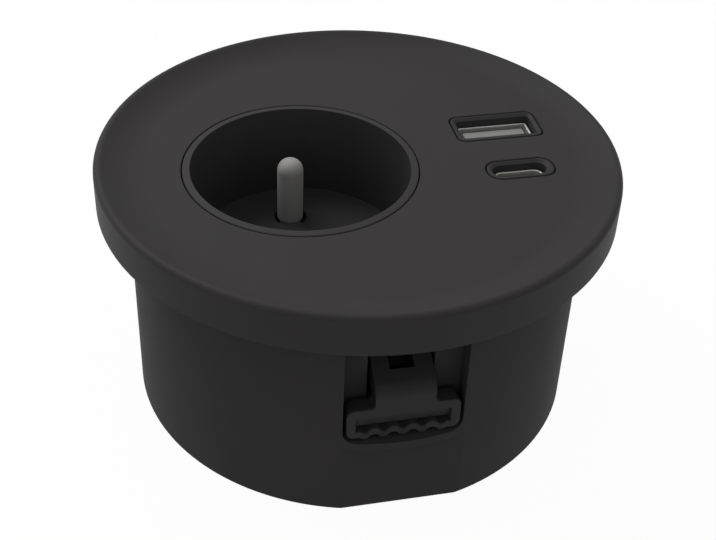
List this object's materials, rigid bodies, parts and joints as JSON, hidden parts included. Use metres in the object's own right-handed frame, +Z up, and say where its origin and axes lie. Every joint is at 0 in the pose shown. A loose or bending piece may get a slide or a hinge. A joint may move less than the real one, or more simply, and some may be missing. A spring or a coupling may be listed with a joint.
{
  "type": "electrified desk grommet",
  "caption": "Round black desk grommet with an earthed socket well, wide and narrow charging ports and swing-out claws that hold it in an 80 mm hole.",
  "frame": {"origin": "centre of the flange's underside, on the axis of the round body, in the plane of the desk top", "axes": "+Z up out of the desk, +X from the socket well towards the charging ports, -Y towards the front claw"},
  "size_m": [0.09, 0.09, 0.0461],
  "materials": {
    "cover_plastic": "fine matt",
    "well_plastic": "satin",
    "port_plastic": "satin",
    "housing_plastic": "matt",
    "claw_plastic": "matt",
    "earth_metal": "nickel-plated, satin",
    "port_metal": "stamped, satin",
    "tongue_plastic": "satin",
    "screw_steel": "zinc-plated",
    "spring_steel": "bright",
    "contact_brass": "stamped",
    "carrier_plastic": "matt",
    "shutter_plastic": "matt",
    "board_laminate": "lacquered laminate",
    "core_ferrite": "sintered",
    "coil_tape": "tape",
    "capacitor_sleeve": "shrunk sleeve",
    "bush_rubber": "matt"
  },
  "bodies": {
    "root": {"top_cover": "cover_plastic", "housing": "housing_plastic", "bottom_cover": "housing_plastic", "cover_screws": "screw_steel", "socket_insert": "well_plastic", "insert_screws": "screw_steel", "earth_pin": "earth_metal", "contact_carrier": "carrier_plastic", "carrier_screws": "screw_steel", "shutter_spring": "spring_steel", "live_contact": "contact_brass", "neutral_contact": "contact_brass", "earth_strap": "contact_brass", "terminal_screws": "screw_steel", "usb_module_case": "port_plastic", "module_screws": "screw_steel", "usb_a_shell": "port_metal", "usb_c_shell": "port_metal", "usb_a_tongue": "tongue_plastic", "usb_c_tongue": "tongue_plastic", "charger_board": "board_laminate", "transformer_core": "core_ferrite", "transformer_coil": "coil_tape", "filter_capacitors": "capacitor_sleeve", "cable_bush": "bush_rubber", "cord_clamp": "claw_plastic", "clamp_screws": "screw_steel", "front_claw_pin": "screw_steel", "rear_claw_pin": "screw_steel", "front_claw_spring": "spring_steel", "rear_claw_spring": "spring_steel"},
    "front_claw": {"front_claw": "claw_plastic"},
    "rear_claw": {"rear_claw": "claw_plastic"},
    "shutter": {"socket_shutter": "shutter_plastic"}
  },
  "joints": [
    {"name": "front_claw_swing", "type": "hinge", "parent": "root", "child": "front_claw", "pos_m": [0, -0.0275, -0.00902], "axis": [-1, 0, 0], "range_deg": [0, 65]},
    {"name": "rear_claw_swing", "type": "hinge", "parent": "root", "child": "rear_claw", "pos_m": [0, 0.0275, -0.00902], "axis": [1, 0, 0], "range_deg": [0, 65]},
    {"name": "socket_shutter_slide", "type": "slide", "parent": "root", "child": "shutter", "axis": [0, -1, 0], "range_m": [0, 0.006], "stiffness_N_per_m": 150, "springref_m": -0.002, "deforming": ["shutter_spring"]}
  ]
}
